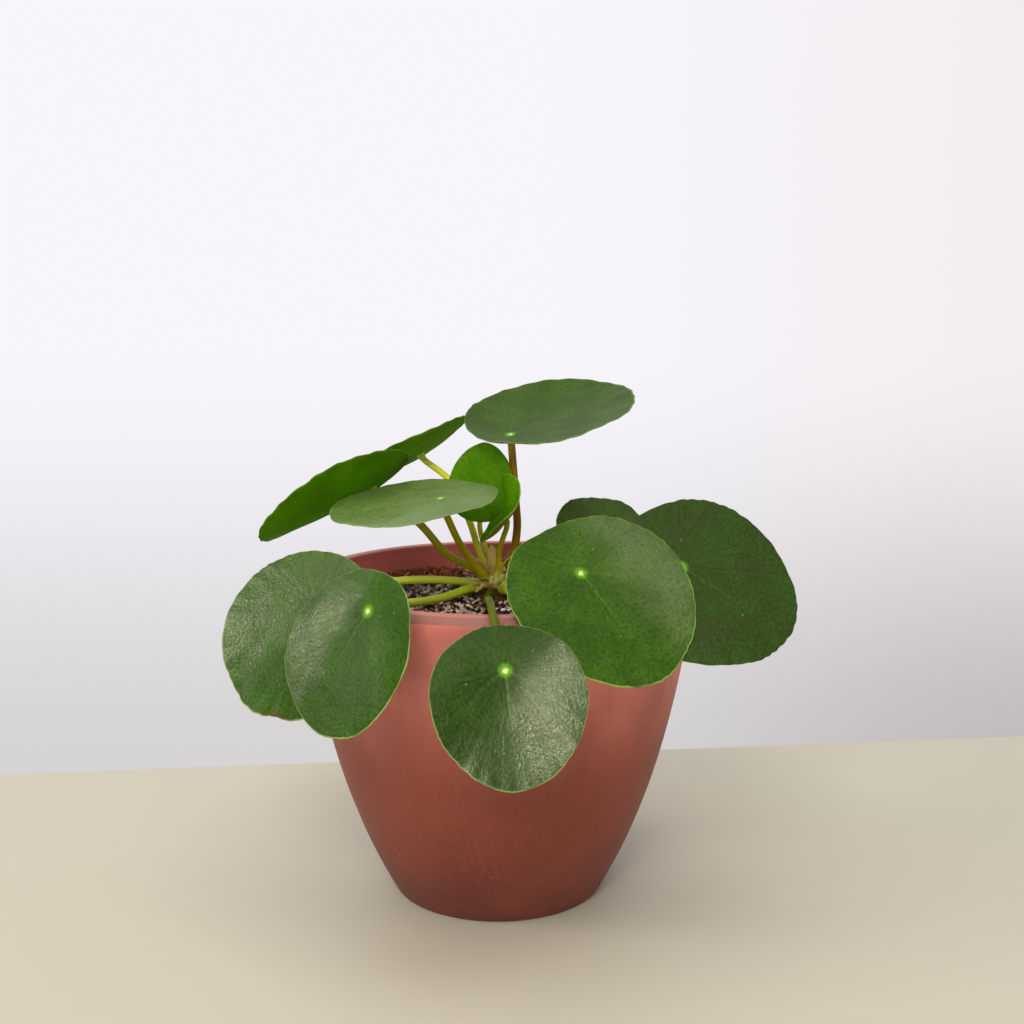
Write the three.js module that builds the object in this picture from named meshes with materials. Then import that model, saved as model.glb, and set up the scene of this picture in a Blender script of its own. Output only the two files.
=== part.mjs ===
import * as THREE from "three";

// Millimetres, +Z up. The origin is the middle of the pot's foot, on the surface it stands on.

// Pot: outer radius at each height, from the foot to the shoulder under the rim
const POT_OUTER = [
  [0, 36.6],
  [1, 37.6],
  [12, 43.4],
  [24, 48.8],
  [40, 54.7],
  [56, 59.4],
  [72, 63.2],
  [88, 66.3],
  [104, 69.1],
];
const POT_HEIGHT = 114;
const RIM_SHOULDER_HEIGHT = 111.3;
const RIM_SHOULDER_RADIUS = 70;
const RIM_OUTER_RADIUS = 68;
const RIM_INNER_RADIUS = 63.6;
const WALL = 5.2;
const FLOOR_THICKNESS = 7;
const POT_SEGMENTS = 64;
const POT_RED = 0x9c5240;

// Soil: a filled body whose top is lumpy and rises a little to the crown
const SOIL_TOP = 103.6;
const SOIL_MOUND = 1.4;
const SOIL_LUMP = 0.9;
const SOIL_RINGS = [0.14, 0.26, 0.4, 0.55, 0.7, 0.84, 1];
const SOIL_SEGMENTS = 48;
const SOIL_EDGE_HEIGHT = 100.6;
const SOIL_DARK = 0x2b211c;

// Stem: a short knob on a rootstock that stands in a plain hole in the soil
const STEM_X = -1;
const CROWN_CENTRE_HEIGHT = 109;
const CROWN_RADIUS = 5.4;
const CROWN_RINGS = [-0.85, -0.55, -0.2, 0.2, 0.5, 0.75, 0.92];
const NECK_RADIUS = 4.8;
const NECK_HEIGHT = 101;
const ROOT_TIP_HEIGHT = 64;
const ROOT_TIP_RADIUS = 1.6;
const ROOT_HEIGHTS = [ROOT_TIP_HEIGHT, 78, 90, NECK_HEIGHT];
const STEM_SEGMENTS = 24;
const STEM_BARK = 0x4a2c18;

// Blades and petioles
const CLEARANCE = 0.3;
const BLADE_THICKNESS = 0.8;
const BLADE_RINGS = [0.3, 0.58, 0.82, 1];
const BLADE_SEGMENTS = 36;
const RIM_RIPPLE = 0.008;
const PETIOLE_SIDES = 8;
const PETIOLE_STEPS = 12;
const PETIOLE_STRAIGHT_END = 2.6;
const FLARE = 1.3;
const TIP_TURN = 0.9;

const BLADE_GREEN = 0x2f6a24;
const YOUNG_GREEN = 0x4a8c14;
const PETIOLE_OLIVE = 0x6b6b1c;
const PETIOLE_LIGHT = 0x8ba03a;
const PETIOLE_BROWN = 0x5c4618;

// One entry for each leaf. The blade hangs on the point where its petiole meets it: azimuth and dip aim
// the midrib, roll turns the blade about the midrib, and attach is how far the blade's middle lies past
// that point, as a share of its length. cup lifts the whole rim and fold lifts the two sides, in millimetres.
// egg widens the tip or, below zero, the base. The petiole leaves the crown at its own azimuth and elevation
// and passes the via points.
const LEAVES = [
  {
    name: "top_right",
    at: [4.4, 4, 163], azimuth: 29, dip: -15, roll: 10,
    length: 62, width: 60, attach: 0.29, egg: -0.08, cup: 3.5, fold: 1.2, ruffle: 0.35, phase: 0.4,
    petiole: { azimuth: 12, elevation: 42, radius: 1.4 },
    via: [[4.2, 2, 118], [5.4, 3, 128.5], [5.7, 4, 140]],
    blade: BLADE_GREEN, stalk: PETIOLE_BROWN,
  },
  {
    name: "top_left",
    at: [-29.6, 33, 153.4], azimuth: 204, dip: 22, roll: 22,
    length: 55.5, width: 53.5, attach: 0.11, egg: 0, cup: 3.6, fold: -1.1, ruffle: 0.3, phase: 1.7,
    petiole: { azimuth: 122, elevation: 60, radius: 1.2 },
    via: [[-6.4, 5, 120], [-10.5, 10, 130.4], [-18, 20, 144.3]],
    blade: BLADE_GREEN, stalk: PETIOLE_LIGHT,
  },
  {
    name: "left_high",
    at: [-45, 6, 144], azimuth: 196, dip: 27, roll: 24,
    length: 60, width: 58, attach: 0.22, egg: 0, cup: 3.2, fold: 3, ruffle: 0.3, phase: 3.1,
    petiole: { azimuth: 168, elevation: 44, radius: 1.35 },
    via: [[-17, 1, 120.6], [-27.5, 2, 132]],
    blade: BLADE_GREEN, stalk: PETIOLE_OLIVE,
  },
  {
    name: "centre_left",
    at: [-19, -22, 144], azimuth: 187, dip: 7, roll: -6,
    length: 57, width: 55, attach: 0.16, egg: 0.08, cup: 0, fold: 0.5, ruffle: 0.25, phase: 5.2,
    petiole: { azimuth: 218, elevation: 46, radius: 1.25 },
    via: [[-11.4, -8, 124.7], [-16.5, -16, 137]],
    blade: BLADE_GREEN, stalk: PETIOLE_OLIVE,
  },
  {
    name: "young_upright",
    at: [-6, 4, 137.8], azimuth: 71, dip: -77, roll: -5,
    length: 28.5, width: 25.5, attach: 0.29, egg: -0.16, cup: 0.8, fold: 0.6, ruffle: 0.1, phase: 0.9,
    petiole: { azimuth: 60, elevation: 76, radius: 0.95 },
    via: [[-3.4, 5, 121.5], [-6.4, 7.6, 130]],
    blade: YOUNG_GREEN, stalk: PETIOLE_OLIVE,
  },
  {
    name: "young_folded",
    at: [5.4, -8, 136], azimuth: 10, dip: -68, roll: 16,
    length: 26.5, width: 21, attach: 0.02, egg: 0, cup: 5.4, fold: 2, ruffle: 0.1, phase: 2.6,
    petiole: { azimuth: 290, elevation: 64, radius: 0.95 },
    via: [[0.6, -4.5, 122.6], [2.2, -6, 129]],
    blade: YOUNG_GREEN, stalk: PETIOLE_BROWN,
  },
  {
    name: "left_low_back",
    at: [-56, -53.5, 113], azimuth: 178, dip: 40, roll: -54,
    length: 57.5, width: 55.5, attach: 0.18, egg: 0.11, cup: -2.5, fold: 0.9, ruffle: 0.35, phase: 4.4,
    notch: { at: 25, depth: 0.05, spread: 9 },
    petiole: { azimuth: 172, elevation: 10, radius: 1.35 },
    via: [[-20.2, -8, 114.4], [-36, -29, 118.8], [-49, -41, 118]],
    blade: BLADE_GREEN, stalk: PETIOLE_LIGHT,
  },
  {
    name: "left_low_front",
    at: [-38.4, -74, 117.2], azimuth: 180, dip: 58, roll: -45,
    length: 53, width: 51, attach: 0.27, egg: 0.08, cup: -2.4, fold: 2.1, ruffle: 0.25, phase: 2.2,
    petiole: { azimuth: 205, elevation: -8, radius: 1.45 },
    via: [[-19.6, -20, 109.5], [-28.8, -45, 113.6], [-33, -58, 116.4]],
    blade: BLADE_GREEN, stalk: PETIOLE_LIGHT,
  },
  {
    name: "front",
    at: [3, -87, 102.2], azimuth: 283, dip: 60, roll: 7,
    length: 50, width: 46.5, attach: 0.21, egg: -0.1, cup: -1.6, fold: 4.4, ruffle: 0.35, phase: 5.8,
    petiole: { azimuth: 268, elevation: -8, radius: 1.45 },
    via: [[-2, -28, 110], [-1.4, -56, 116.4], [-0.6, -72, 116.6]],
    blade: BLADE_GREEN, stalk: PETIOLE_LIGHT,
  },
  {
    name: "right_front",
    at: [26.6, -55, 125], azimuth: 321, dip: 41, roll: 24,
    length: 62.5, width: 60.5, attach: 0.18, egg: -0.07, cup: -2.5, fold: 6.5, ruffle: 0.3, phase: 1.2,
    petiole: { azimuth: 306, elevation: 2, radius: 1.45 },
    via: [[9, -16, 111.5], [17, -35, 116]],
    blade: BLADE_GREEN, stalk: PETIOLE_LIGHT,
  },
  {
    name: "right_back",
    at: [59.3, -47, 125.4], azimuth: 343, dip: 29, roll: 43,
    length: 62, width: 60, attach: 0.15, egg: -0.14, cup: -1.1, fold: 0.4, ruffle: 0.35, phase: 3.7,
    petiole: { azimuth: 341, elevation: 8, radius: 1.4 },
    via: [[19, -11, 113], [40, -28, 118.5]],
    blade: BLADE_GREEN, stalk: PETIOLE_OLIVE,
  },
  {
    name: "right_far",
    at: [35.7, 30, 124], azimuth: 18, dip: 5, roll: 36,
    length: 39, width: 38, attach: 0.13, egg: 0, cup: 0, fold: 0.4, ruffle: 0.8, phase: 0.2,
    petiole: { azimuth: 38, elevation: 12, radius: 1.2 },
    via: [[12, 11, 112.5], [25, 23, 115.5]],
    blade: BLADE_GREEN, stalk: PETIOLE_OLIVE,
  },
];

// Papery stipules round the crown: where each stands, how far it leans out, and its size
const STIPULES = [
  { azimuth: 326, elevation: 38, length: 5, width: 3 },
  { azimuth: 345, elevation: 72, length: 8, width: 2.4 },
  { azimuth: 196, elevation: 72, length: 6, width: 2.4 },
  { azimuth: 240, elevation: 18, length: 5, width: 3.4 },
];
const STIPULE_THICKNESS = 0.7;
const STIPULE_STEPS = [0, 0.35, 0.7, 1];
const STIPULE_BOW = 0.18;
// Corners of a stipule's section, as shares of its half width and half thickness
const STIPULE_SECTION = [[-1, -0.25], [0, -1], [1, -0.25], [1, 0.75], [0, 0.4], [-1, 0.75]];
const STIPULE_PAPER = 0xb9a35a;

const radians = THREE.MathUtils.degToRad;

function material(color, roughness) {
  return new THREE.MeshStandardMaterial({ color, roughness, metalness: 0 });
}

function named(name, geometry, color, roughness) {
  const mesh = new THREE.Mesh(geometry, material(color, roughness));
  mesh.name = name;
  return mesh;
}

// A closed surface from rings of equal count, with a fan at each end
function closedRings(rings, start, end) {
  const count = rings[0].length;
  const positions = [start, ...rings.flat(), end].flatMap((point) => point.toArray());
  const last = rings.length * count + 1;
  const index = [];
  for (let i = 0; i < count; i += 1) {
    const next = (i + 1) % count;
    index.push(0, 1 + next, 1 + i);
    for (let ring = 0; ring < rings.length - 1; ring += 1) {
      const low = 1 + ring * count;
      const high = low + count;
      index.push(low + i, low + next, high + next);
      index.push(low + i, high + next, high + i);
    }
    index.push(last, last - count + i, last - count + next);
  }
  const geometry = new THREE.BufferGeometry();
  geometry.setAttribute("position", new THREE.Float32BufferAttribute(positions, 3));
  geometry.setIndex(index);
  geometry.computeVertexNormals();
  return geometry;
}

function outerRadius(height) {
  const above = POT_OUTER.findIndex(([z]) => z >= height);
  const [z1, r1] = POT_OUTER[above];
  const [z0, r0] = POT_OUTER[Math.max(above - 1, 0)];
  const share = z1 === z0 ? 0 : (height - z0) / (z1 - z0);
  return r0 + (r1 - r0) * share;
}

function makePot() {
  const outside = POT_OUTER.map(([z, r]) => new THREE.Vector2(r, z));
  const rim = [
    new THREE.Vector2(RIM_SHOULDER_RADIUS, RIM_SHOULDER_HEIGHT),
    new THREE.Vector2(RIM_OUTER_RADIUS, POT_HEIGHT),
    new THREE.Vector2(RIM_INNER_RADIUS, POT_HEIGHT),
  ];
  const inside = POT_OUTER.filter(([z]) => z > FLOOR_THICKNESS)
    .reverse()
    .map(([z, r]) => new THREE.Vector2(r - WALL, z));
  const floor = [
    new THREE.Vector2(outerRadius(FLOOR_THICKNESS) - WALL, FLOOR_THICKNESS),
    new THREE.Vector2(0, FLOOR_THICKNESS),
  ];
  const profile = [new THREE.Vector2(0, 0), ...outside, ...rim, ...inside, ...floor];
  const geometry = new THREE.LatheGeometry(profile, POT_SEGMENTS);
  geometry.rotateX(Math.PI / 2);
  return named("pot", geometry, POT_RED, 0.75);
}

// Half width of the stem's body at a height, from the root tip up to the top of the crown
function stemRadius(height) {
  if (height <= NECK_HEIGHT) {
    const share = (height - ROOT_TIP_HEIGHT) / (NECK_HEIGHT - ROOT_TIP_HEIGHT);
    return ROOT_TIP_RADIUS + (NECK_RADIUS - ROOT_TIP_RADIUS) * Math.sqrt(share);
  }
  const rise = height - CROWN_CENTRE_HEIGHT;
  const round = Math.sqrt(Math.max(CROWN_RADIUS ** 2 - rise ** 2, 0));
  return rise < 0 ? Math.max(round, NECK_RADIUS) : round;
}

function ringAt(height, radius, segments, x = 0) {
  return Array.from({ length: segments }, (_, i) => {
    const angle = (2 * Math.PI * i) / segments;
    return new THREE.Vector3(x + radius * Math.cos(angle), radius * Math.sin(angle), height);
  });
}

function soilHeight(x, y) {
  const reach = Math.hypot(x - STEM_X, y) / RIM_INNER_RADIUS;
  const lumps = Math.sin(0.31 * x + 0.8) * Math.cos(0.27 * y) + 0.6 * Math.sin(0.53 * y + 0.21 * x);
  return SOIL_TOP + SOIL_MOUND * (1 - reach) + SOIL_LUMP * 0.6 * lumps;
}

function makeSoil() {
  const wallHeights = POT_OUTER.map(([z]) => z).filter((z) => z > FLOOR_THICKNESS && z < SOIL_EDGE_HEIGHT);
  const inner = (height) => outerRadius(height) - WALL - CLEARANCE;
  const bottom = FLOOR_THICKNESS + CLEARANCE;
  const rings = [0.5, 1].map((share) => ringAt(bottom, share * inner(bottom), SOIL_SEGMENTS));
  wallHeights.forEach((height) => rings.push(ringAt(height, inner(height), SOIL_SEGMENTS)));
  const edge = inner(SOIL_EDGE_HEIGHT);
  const hole = NECK_RADIUS + 2 * CLEARANCE;
  [...SOIL_RINGS].reverse().forEach((share) => {
    const ring = ringAt(0, share * edge, SOIL_SEGMENTS, STEM_X * (1 - share));
    rings.push(ring.map((p) => new THREE.Vector3(p.x, p.y, soilHeight(p.x, p.y))));
  });
  const lip = ringAt(0, hole, SOIL_SEGMENTS, STEM_X);
  rings.push(lip.map((p) => new THREE.Vector3(p.x, p.y, soilHeight(p.x, p.y))));
  [...ROOT_HEIGHTS].reverse().forEach((height) => {
    rings.push(ringAt(height - CLEARANCE, stemRadius(height) + 2 * CLEARANCE, SOIL_SEGMENTS, STEM_X));
  });
  const start = new THREE.Vector3(0, 0, bottom);
  const end = new THREE.Vector3(STEM_X, 0, ROOT_TIP_HEIGHT - 2 * CLEARANCE);
  return named("soil", closedRings(rings, start, end), SOIL_DARK, 0.95);
}

function makeStem() {
  const crown = CROWN_RINGS.map((share) => CROWN_CENTRE_HEIGHT + share * CROWN_RADIUS);
  const heights = [...ROOT_HEIGHTS, ...crown];
  const rings = heights.map((height) => ringAt(height, stemRadius(height), STEM_SEGMENTS, STEM_X));
  const start = new THREE.Vector3(STEM_X, 0, ROOT_TIP_HEIGHT - CLEARANCE);
  const end = new THREE.Vector3(STEM_X, 0, CROWN_CENTRE_HEIGHT + CROWN_RADIUS);
  return named("stem", closedRings(rings, start, end), STEM_BARK, 0.85);
}

// Side, midrib and face directions of a blade
function bladeAxes({ azimuth, dip, roll }) {
  const turn = radians(azimuth);
  const fall = radians(dip);
  const midrib = new THREE.Vector3(
    Math.cos(turn) * Math.cos(fall),
    Math.sin(turn) * Math.cos(fall),
    -Math.sin(fall),
  );
  const face = new THREE.Vector3(
    Math.cos(turn) * Math.sin(fall),
    Math.sin(turn) * Math.sin(fall),
    Math.cos(fall),
  );
  const side = new THREE.Vector3().crossVectors(midrib, face);
  face.applyAxisAngle(midrib, radians(roll));
  side.applyAxisAngle(midrib, radians(roll));
  return { side, midrib, face };
}

// How far the outline draws in at an angle: fine ripples, and a torn notch where a leaf has one
function outlineShare({ notch, phase }, angle) {
  const ripple = 0.6 * Math.sin(7 * angle + phase) + 0.4 * Math.sin(11 * angle + 2.3 * phase);
  if (!notch) {
    return 1 + RIM_RIPPLE * ripple;
  }
  const away = Math.atan2(Math.sin(angle - radians(notch.at)), Math.cos(angle - radians(notch.at)));
  return 1 + RIM_RIPPLE * ripple - notch.depth * Math.exp(-((away / radians(notch.spread)) ** 2));
}

// A point of the blade's middle surface: side offset, height over the flat blade, midrib offset
function bladePoint(leaf, share, angle) {
  const outline = outlineShare(leaf, angle);
  const along = share * (leaf.attach * leaf.length + (leaf.length / 2) * Math.cos(angle) * outline);
  const across = share * (leaf.width / 2) * Math.sin(angle) * (1 + leaf.egg * Math.cos(angle)) * outline;
  const lift = leaf.cup * share ** 2 + (leaf.fold * Math.abs(across)) / (leaf.width / 2);
  const wave = leaf.ruffle * share ** 3 * Math.sin(5 * angle + leaf.phase);
  return new THREE.Vector3(across, along, lift + wave);
}

function makeBlade(leaf) {
  const half = BLADE_THICKNESS / 2;
  const angles = Array.from({ length: BLADE_SEGMENTS }, (_, i) => (-2 * Math.PI * i) / BLADE_SEGMENTS);
  const face = (share, offset) => angles.map((angle) => {
    const point = bladePoint(leaf, share, angle);
    point.z += offset;
    return point;
  });
  const under = BLADE_RINGS.map((share) => face(share, -half));
  const over = [...BLADE_RINGS].reverse().map((share) => face(share, half));
  const geometry = closedRings(
    [...under, ...over],
    new THREE.Vector3(0, 0, -half),
    new THREE.Vector3(0, 0, half),
  );
  const mesh = named(`leaf_${leaf.name}`, geometry, leaf.blade, 0.45);
  const { side, midrib, face: normal } = bladeAxes(leaf);
  mesh.quaternion.setFromRotationMatrix(new THREE.Matrix4().makeBasis(side, midrib, normal));
  mesh.position.fromArray(leaf.at);
  return mesh;
}

function crownDirection(azimuth, elevation) {
  const turn = radians(azimuth);
  const rise = radians(elevation);
  return new THREE.Vector3(Math.cos(turn) * Math.cos(rise), Math.sin(turn) * Math.cos(rise), Math.sin(rise));
}

function petioleCurve(leaf) {
  const centre = new THREE.Vector3(STEM_X, 0, CROWN_CENTRE_HEIGHT);
  const out = crownDirection(leaf.petiole.azimuth, leaf.petiole.elevation);
  const root = centre.clone().addScaledVector(out, CROWN_RADIUS + CLEARANCE);
  const leave = root.clone().addScaledVector(out, PETIOLE_STRAIGHT_END);
  const { face } = bladeAxes(leaf);
  const tip = new THREE.Vector3().fromArray(leaf.at);
  tip.addScaledVector(face, -(BLADE_THICKNESS / 2 + CLEARANCE));
  const via = leaf.via.map((point) => new THREE.Vector3().fromArray(point));
  const arrive = tip.clone().sub(via[via.length - 1]).normalize().addScaledVector(face, TIP_TURN).normalize();
  const approach = tip.clone().addScaledVector(arrive, -PETIOLE_STRAIGHT_END);
  return new THREE.CatmullRomCurve3([root, leave, ...via, approach, tip]);
}

// A tapered stalk. Its last ring is cut parallel to the underside of the blade that it carries.
function makePetiole(leaf) {
  const curve = petioleCurve(leaf);
  const frames = curve.computeFrenetFrames(PETIOLE_STEPS, false);
  const { face } = bladeAxes(leaf);
  const tip = curve.getPointAt(1);
  const rings = frames.normals.map((normal, step) => {
    const share = step / PETIOLE_STEPS;
    const flare = 1 + (FLARE - 1) * Math.max(5 * share - 4, 0);
    const radius = leaf.petiole.radius * flare * (1.05 - 0.1 * share);
    const centre = curve.getPointAt(share);
    return Array.from({ length: PETIOLE_SIDES }, (_, i) => {
      const angle = (2 * Math.PI * i) / PETIOLE_SIDES;
      const point = centre.clone()
        .addScaledVector(normal, radius * Math.cos(angle))
        .addScaledVector(frames.binormals[step], radius * Math.sin(angle));
      if (step === PETIOLE_STEPS) {
        const tangent = frames.tangents[step];
        point.addScaledVector(tangent, tip.clone().sub(point).dot(face) / tangent.dot(face));
      }
      return point;
    });
  });
  const geometry = closedRings(rings, curve.getPointAt(0), tip);
  return named(`petiole_${leaf.name}`, geometry, leaf.stalk, 0.55);
}

// A small pointed scale that stands on the crown, bowed round it
function makeStipule(stipule, number) {
  const centre = new THREE.Vector3(STEM_X, 0, CROWN_CENTRE_HEIGHT);
  const up = crownDirection(stipule.azimuth, stipule.elevation);
  const across = new THREE.Vector3(0, 0, 1).cross(up).normalize();
  const out = new THREE.Vector3().crossVectors(up, across);
  const half = STIPULE_THICKNESS / 2;
  const rings = STIPULE_STEPS.map((share) => {
    const middle = centre.clone().addScaledVector(up, CROWN_RADIUS + CLEARANCE + share * stipule.length);
    middle.addScaledVector(out, -STIPULE_BOW * stipule.length * share ** 2);
    const wide = (stipule.width / 2) * (1 - 0.85 * share ** 1.6);
    return STIPULE_SECTION.map(([a, b]) => middle.clone()
      .addScaledVector(across, a * wide)
      .addScaledVector(out, b * half));
  });
  const [start, end] = [rings[0], rings[rings.length - 1]].map((ring) => {
    const sum = new THREE.Vector3();
    ring.forEach((point) => sum.add(point));
    return sum.divideScalar(ring.length);
  });
  const geometry = closedRings(rings, start, end);
  return named(`stipule_${number}`, geometry, STIPULE_PAPER, 0.7);
}

const plant = new THREE.Group();
plant.add(makePot(), makeSoil(), makeStem());
LEAVES.forEach((leaf) => plant.add(makeBlade(leaf), makePetiole(leaf)));
STIPULES.forEach((stipule, i) => plant.add(makeStipule(stipule, i + 1)));

export default plant;
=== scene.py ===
import math
import random

import bmesh
import bpy
from mathutils import Matrix, Vector, noise


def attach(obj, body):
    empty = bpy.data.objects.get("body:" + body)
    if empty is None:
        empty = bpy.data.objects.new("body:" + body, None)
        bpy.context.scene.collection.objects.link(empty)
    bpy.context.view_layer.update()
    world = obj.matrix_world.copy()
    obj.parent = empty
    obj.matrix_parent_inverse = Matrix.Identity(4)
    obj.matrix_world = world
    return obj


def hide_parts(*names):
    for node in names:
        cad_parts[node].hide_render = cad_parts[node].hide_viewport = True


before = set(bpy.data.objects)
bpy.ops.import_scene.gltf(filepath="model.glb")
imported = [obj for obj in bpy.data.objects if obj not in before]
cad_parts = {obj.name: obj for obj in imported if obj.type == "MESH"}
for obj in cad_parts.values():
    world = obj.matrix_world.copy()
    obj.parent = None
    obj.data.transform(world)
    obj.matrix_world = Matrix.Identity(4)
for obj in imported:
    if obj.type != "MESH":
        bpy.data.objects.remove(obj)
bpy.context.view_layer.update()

# Metres, +Z up, with the origin at the middle of the pot's foot, as in the CAD model.
# Sizes below are millimetres where their names end in _MM, or where they are times MM.
MM = 0.001

# Camera, at the photograph's viewing angle
CAMERA_PLACE = (0.005, -0.485, 0.211)
CAMERA_PITCH = -8.77
CAMERA_LENS = 48.87

# Softboxes: azimuth from the camera's side towards the right, elevation, side in metres and watts
LIGHT_DISTANCE = 1.4
LIGHT_AIM_HEIGHT = 0.08
WARM_LIGHT = (1, 0.97, 0.91)
ROOM_LIGHT = 0.2
STUDIO_LIGHTS = [
    ("front", -9, 35, 0.42, 8.1), ("high_left", -45, 70, 1.4, 9.4), ("low_left", -85, 16.5, 0.42, 4.8),
    ("low_front", 14, 6, 0.5, 2.5), ("right", 90, 35, 1.4, 2), ("high_right", 38, 62, 0.5, 2),
]

# Table and backdrop
TABLE_THICKNESS = 0.03
TABLE_LEFT_EDGE = (-0.235, 0.112)
TABLE_RIGHT_EDGE = (0.245, 0.168)
TABLE_REACH = 1.6
BACKDROP_Y = 1.1
BACKDROP_HALF_WIDTH = 1.6
BACKDROP_HEIGHTS = (-1.0, 1.6)

# Pot: outer radius at each height, as in the CAD model
POT_OUTER_MM = [
    (0, 36.6), (1, 37.6), (12, 43.4), (24, 48.8), (40, 54.7),
    (56, 59.4), (72, 63.2), (88, 66.3), (104, 69.1), (111.3, 70),
]
POT_HEIGHT_MM = 114
RIM_OUTER_MM = 68
RIM_INNER_MM = 63.6
POT_WALL_MM = 5.2
POT_FLOOR_MM = 7
POT_STEPS = 160
POT_STEP_MM = 2.2
FOOT_INSIDE_MM = 30
RIM_ROUNDING = 0.0006

# Soil
SOIL_TOP_MM = 103.6
SOIL_MOUND_MM = 1.4
SOIL_LUMP_MM = 0.9
SOIL_RIM_MM = 63.4
SOIL_GAP_MM = 0.2
SOIL_WALL_MM = (16, 28, 40, 56, 72, 88, 98)
SOIL_RINGS = 64
SOIL_STEPS = 220
GRAIN_BATCH = 100

# Mound of coir at the back: its middle, height and half widths
MOUND_PLACE_MM = (-26, 40)
MOUND_HEIGHT_MM = 2.6
MOUND_SPREAD_MM = (10, 7)

# Stem: radius and height of the rootstock, and the round crown that it ends in
STEM_X_MM = -1
ROOTSTOCK_MM = [
    (0, 64), (1.6, 64), (3, 78), (4, 90), (4.8, 99), (5.6, 102), (6.2, 104), (6.1, 105.6), (5.6, 107),
]
CROWN_HEIGHT_MM = 109
CROWN_RADIUS_MM = 5.4
STEM_STEPS = 72

# Blades
BLADE_HALF_THICKNESS = 0.00036
BLADE_STEPS = 168
BLADE_RINGS = 26
SCALLOPS = 43
SCALLOP_SHARE = 0.006
VEIN_SINK = 0.0001
CREASE_MM = 6
VEIN_TURN = 1.15
VEIN_BOW = 18
GLOW_RADIUS = 0.0022
DOT_RADIUS = 0.0006

# Petioles
STALK_SIDES = 20
STALK_STATIONS = 56
STRAIGHT_END_MM = 2.6
TIP_TURN = 0.9
TIP_SINK_MM = 0.7
ROOT_SWELL_SHARE = 0.45
ROOT_SWELL_MM = 4.5
STREAKS_ROUND = 3
STREAKS_ALONG = 90

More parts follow.
